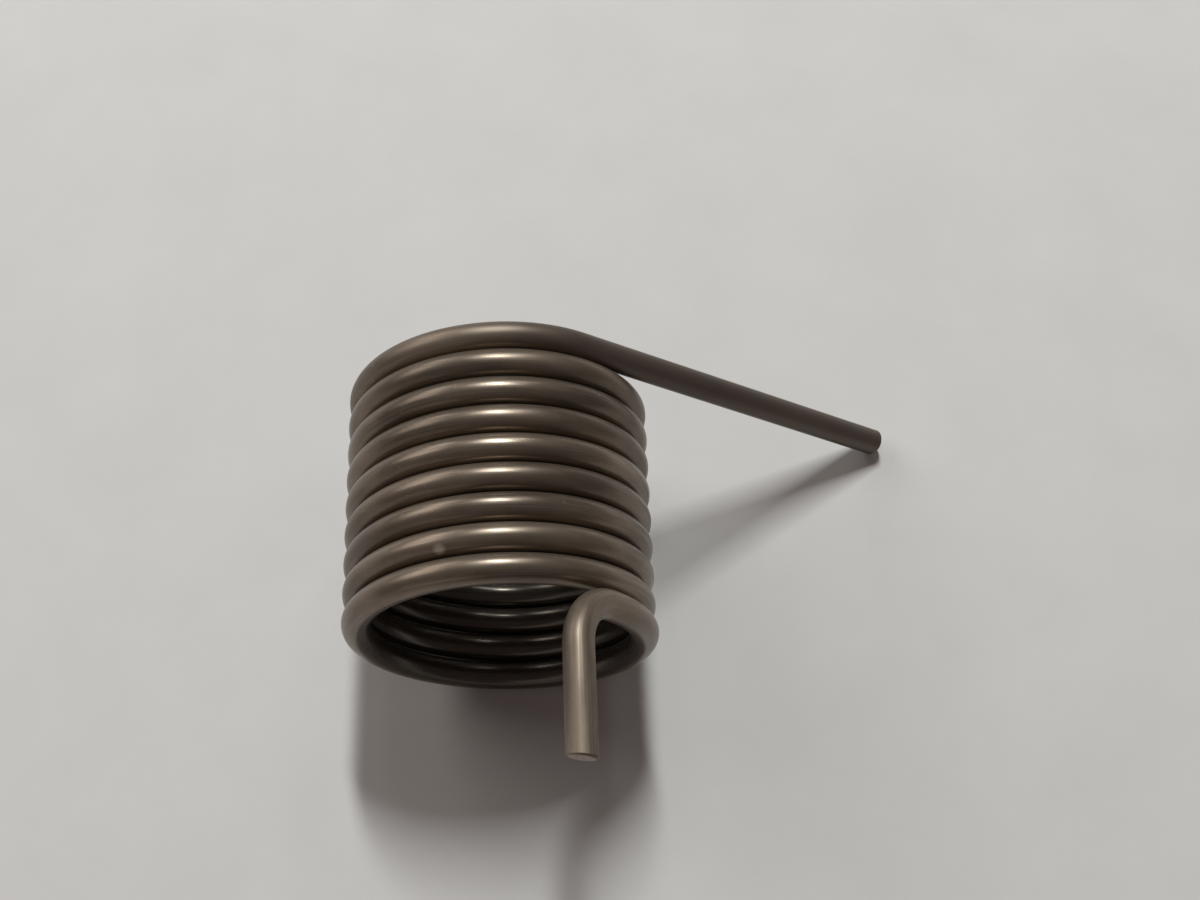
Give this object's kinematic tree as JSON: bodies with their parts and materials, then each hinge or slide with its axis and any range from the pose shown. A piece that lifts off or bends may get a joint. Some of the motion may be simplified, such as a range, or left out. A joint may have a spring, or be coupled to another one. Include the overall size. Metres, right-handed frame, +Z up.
{
  "type": "helical torsion spring",
  "caption": "Close-wound right-hand torsion spring of round steel wire, with a long tangential straight leg and a short leg bent parallel to the coil's axis.",
  "frame": {"origin": "bottom centre of the whole spring's box, on the ground it lies on", "axes": "the coil's axis is parallel to Y; the axial leg points to -Y; the straight leg leaves the +Y end and slopes down to +X; +Z is up"},
  "size_m": [0.0448, 0.034, 0.0249],
  "materials": {
    "spring_wire": "dark drawn spring steel, lightly oiled, satin with a narrow bright highlight"
  },
  "bodies": {
    "fixed_leg": {"straight_leg": "spring_wire"},
    "turn_1": {"coil_turn_1": "spring_wire"},
    "turn_2": {"coil_turn_2": "spring_wire"},
    "turn_3": {"coil_turn_3": "spring_wire"},
    "turn_4": {"coil_turn_4": "spring_wire"},
    "turn_5": {"coil_turn_5": "spring_wire"},
    "turn_6": {"coil_turn_6": "spring_wire"},
    "turn_7": {"coil_turn_7": "spring_wire"},
    "turn_8": {"coil_turn_8": "spring_wire"},
    "turn_9": {"coil_turn_9": "spring_wire"},
    "moving_leg": {"end_bend": "spring_wire", "axial_leg": "spring_wire"}
  },
  "joints": [
    {"name": "wind_up", "type": "hinge", "parent": "fixed_leg", "child": "moving_leg", "pos_m": [-0.01057, 0, 0.0118], "axis": [0, -1, 0], "range_deg": [0, 120], "stiffness_Nm_per_rad": 0.38},
    {"name": "turn_1_share", "type": "hinge", "parent": "fixed_leg", "child": "turn_1", "pos_m": [-0.01057, 0, 0.0118], "axis": [0, -1, 0], "range_deg": [0, 6.67]},
    {"name": "turn_2_share", "type": "hinge", "parent": "fixed_leg", "child": "turn_2", "pos_m": [-0.01057, 0, 0.0118], "axis": [0, -1, 0], "range_deg": [0, 20]},
    {"name": "turn_3_share", "type": "hinge", "parent": "fixed_leg", "child": "turn_3", "pos_m": [-0.01057, 0, 0.0118], "axis": [0, -1, 0], "range_deg": [0, 33.34]},
    {"name": "turn_4_share", "type": "hinge", "parent": "fixed_leg", "child": "turn_4", "pos_m": [-0.01057, 0, 0.0118], "axis": [0, -1, 0], "range_deg": [0, 46.67]},
    {"name": "turn_5_share", "type": "hinge", "parent": "fixed_leg", "child": "turn_5", "pos_m": [-0.01057, 0, 0.0118], "axis": [0, -1, 0], "range_deg": [0, 60]},
    {"name": "turn_6_share", "type": "hinge", "parent": "fixed_leg", "child": "turn_6", "pos_m": [-0.01057, 0, 0.0118], "axis": [0, -1, 0], "range_deg": [0, 73.34]},
    {"name": "turn_7_share", "type": "hinge", "parent": "fixed_leg", "child": "turn_7", "pos_m": [-0.01057, 0, 0.0118], "axis": [0, -1, 0], "range_deg": [0, 86.67]},
    {"name": "turn_8_share", "type": "hinge", "parent": "fixed_leg", "child": "turn_8", "pos_m": [-0.01057, 0, 0.0118], "axis": [0, -1, 0], "range_deg": [0, 100]},
    {"name": "turn_9_share", "type": "hinge", "parent": "fixed_leg", "child": "turn_9", "pos_m": [-0.01057, 0, 0.0118], "axis": [0, -1, 0], "range_deg": [0, 113.34]}
  ],
  "couplings": [
    {"joint": "turn_1_share", "follows": "wind_up", "ratio": 0.055556},
    {"joint": "turn_2_share", "follows": "wind_up", "ratio": 0.16667},
    {"joint": "turn_3_share", "follows": "wind_up", "ratio": 0.27778},
    {"joint": "turn_4_share", "follows": "wind_up", "ratio": 0.38889},
    {"joint": "turn_5_share", "follows": "wind_up", "ratio": 0.5},
    {"joint": "turn_6_share", "follows": "wind_up", "ratio": 0.61111},
    {"joint": "turn_7_share", "follows": "wind_up", "ratio": 0.72222},
    {"joint": "turn_8_share", "follows": "wind_up", "ratio": 0.83333},
    {"joint": "turn_9_share", "follows": "wind_up", "ratio": 0.94444}
  ]
}
